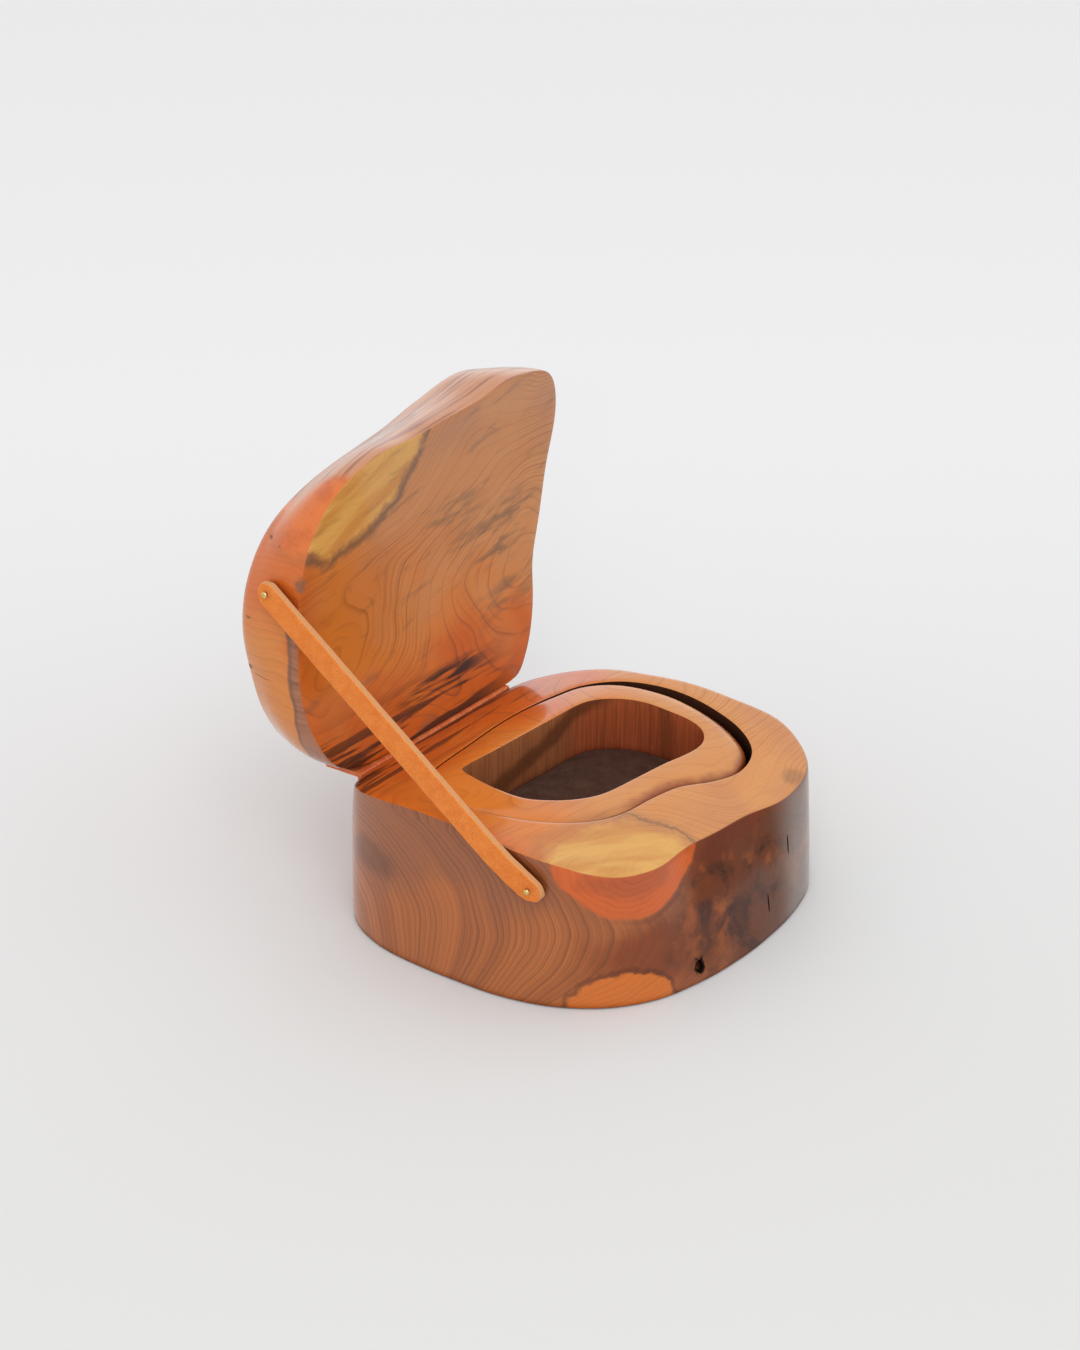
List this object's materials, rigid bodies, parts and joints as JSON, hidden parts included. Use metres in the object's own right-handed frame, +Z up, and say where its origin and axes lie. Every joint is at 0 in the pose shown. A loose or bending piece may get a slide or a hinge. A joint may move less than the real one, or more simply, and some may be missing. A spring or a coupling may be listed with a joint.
{
  "type": "jewel box",
  "caption": "Sculpted wooden jewel box sawn from one block, with a hinged solid lid held open by a leather strap and a lift-out tray over a lined lower compartment.",
  "frame": {"origin": "on the table under the middle of the box, on the flat underside of its floor", "axes": "+Z up, +X along the hinge towards the box's right, front of the box towards -Y"},
  "size_m": [0.1543, 0.17, 0.1794],
  "materials": {
    "base_ring": "oiled and polished yew",
    "base_floor": "oiled yew",
    "liner_ring": "oiled yew",
    "lower_lining": "dark brown suede",
    "tray_ring": "oiled and polished yew",
    "tray_floor": "oiled yew",
    "tray_lining": "dark brown suede",
    "lid": "oiled and polished yew",
    "hinge_strip": "smooth tan leather",
    "strap": "orange tan suede with pale cut edges",
    "strap_pin_base": "polished",
    "strap_pin_lid": "polished"
  },
  "bodies": {
    "base": {"base_ring": "base_ring", "base_floor": "base_floor", "liner_ring": "liner_ring", "lower_lining": "lower_lining", "hinge_strip": "hinge_strip", "strap": "strap", "strap_pin_base": "strap_pin_base"},
    "lid": {"lid": "lid", "strap_pin_lid": "strap_pin_lid"},
    "tray": {"tray_ring": "tray_ring", "tray_floor": "tray_floor", "tray_lining": "tray_lining"}
  },
  "joints": [
    {"name": "lid_hinge", "type": "hinge", "parent": "base", "child": "lid", "pos_m": [-0.011, 0.062, 0.055], "axis": [-1, 0, 0], "range_deg": [-93.5, 0], "deforming": ["strap", "hinge_strip"]},
    {"name": "tray_lift", "type": "slide", "parent": "base", "child": "tray", "axis": [0, 0, 1], "range_m": [0, 0.06]}
  ]
}
